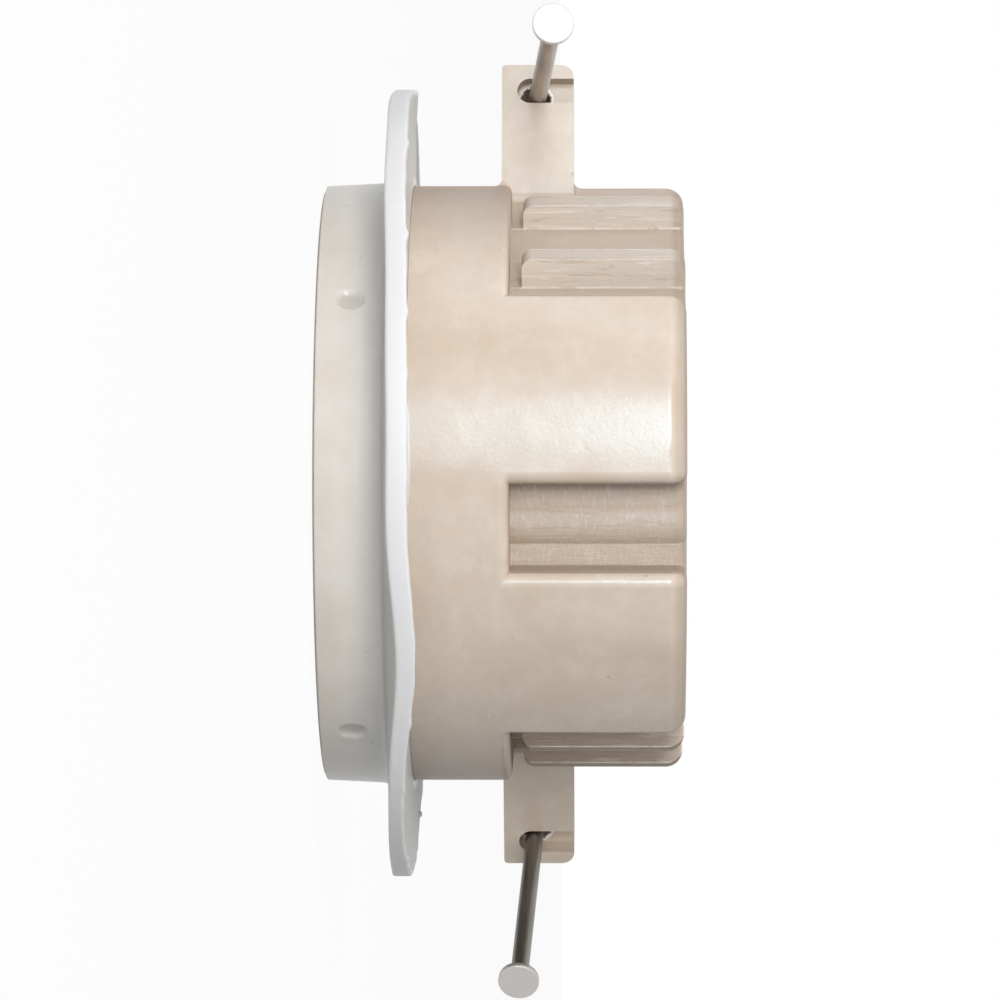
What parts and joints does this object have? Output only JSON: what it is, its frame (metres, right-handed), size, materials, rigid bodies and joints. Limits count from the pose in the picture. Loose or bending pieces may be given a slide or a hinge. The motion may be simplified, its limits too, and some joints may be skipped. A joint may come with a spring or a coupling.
{
  "type": "ceiling box",
  "caption": "Round nail-on ceiling outlet box of moulded fibreglass, with a soft sealing flange, nail ears with captive nails, threaded fixture inserts and cable clamps.",
  "frame": {"origin": "centre of the front rim, on the plane of the rim", "axes": "+Z from the open front towards the closed back, X through the two nail ears, +Y towards the joist that the nails are driven into"},
  "size_m": [0.1845, 0.1474, 0.0667],
  "materials": {
    "shell": "moulded satin",
    "seal": "soft matte",
    "nail_steel": "bright wire",
    "insert_brass": "turned",
    "clamp_nylon": "moulded"
  },
  "bodies": {
    "box": {"box_shell": "shell", "seal_flange": "seal", "insert_near": "insert_brass", "insert_far": "insert_brass"},
    "nail_left": {"nail_left": "nail_steel"},
    "nail_right": {"nail_right": "nail_steel"},
    "clamp_left": {"clamp_left": "clamp_nylon"},
    "clamp_right": {"clamp_right": "clamp_nylon"}
  },
  "joints": [
    {"name": "nail_left_drive", "type": "slide", "parent": "box", "child": "nail_left", "axis": [0.3559, 0.932, -0.068], "range_m": [-0.02, 0.0438]},
    {"name": "nail_right_drive", "type": "slide", "parent": "box", "child": "nail_right", "axis": [-0.3837, 0.9219, 0.0541], "range_m": [-0.02, 0.0438]},
    {"name": "clamp_right_swing", "type": "hinge", "parent": "box", "child": "clamp_right", "pos_m": [0.04338, -0.01102, 0.02935], "axis": [0.3665, 0.9304, 0], "range_deg": [0, 30], "stiffness_Nm_per_rad": 0.05},
    {"name": "clamp_left_swing", "type": "hinge", "parent": "box", "child": "clamp_left", "pos_m": [-0.04338, -0.01102, 0.02935], "axis": [0.3665, -0.9304, 0], "range_deg": [0, 30], "stiffness_Nm_per_rad": 0.05}
  ]
}
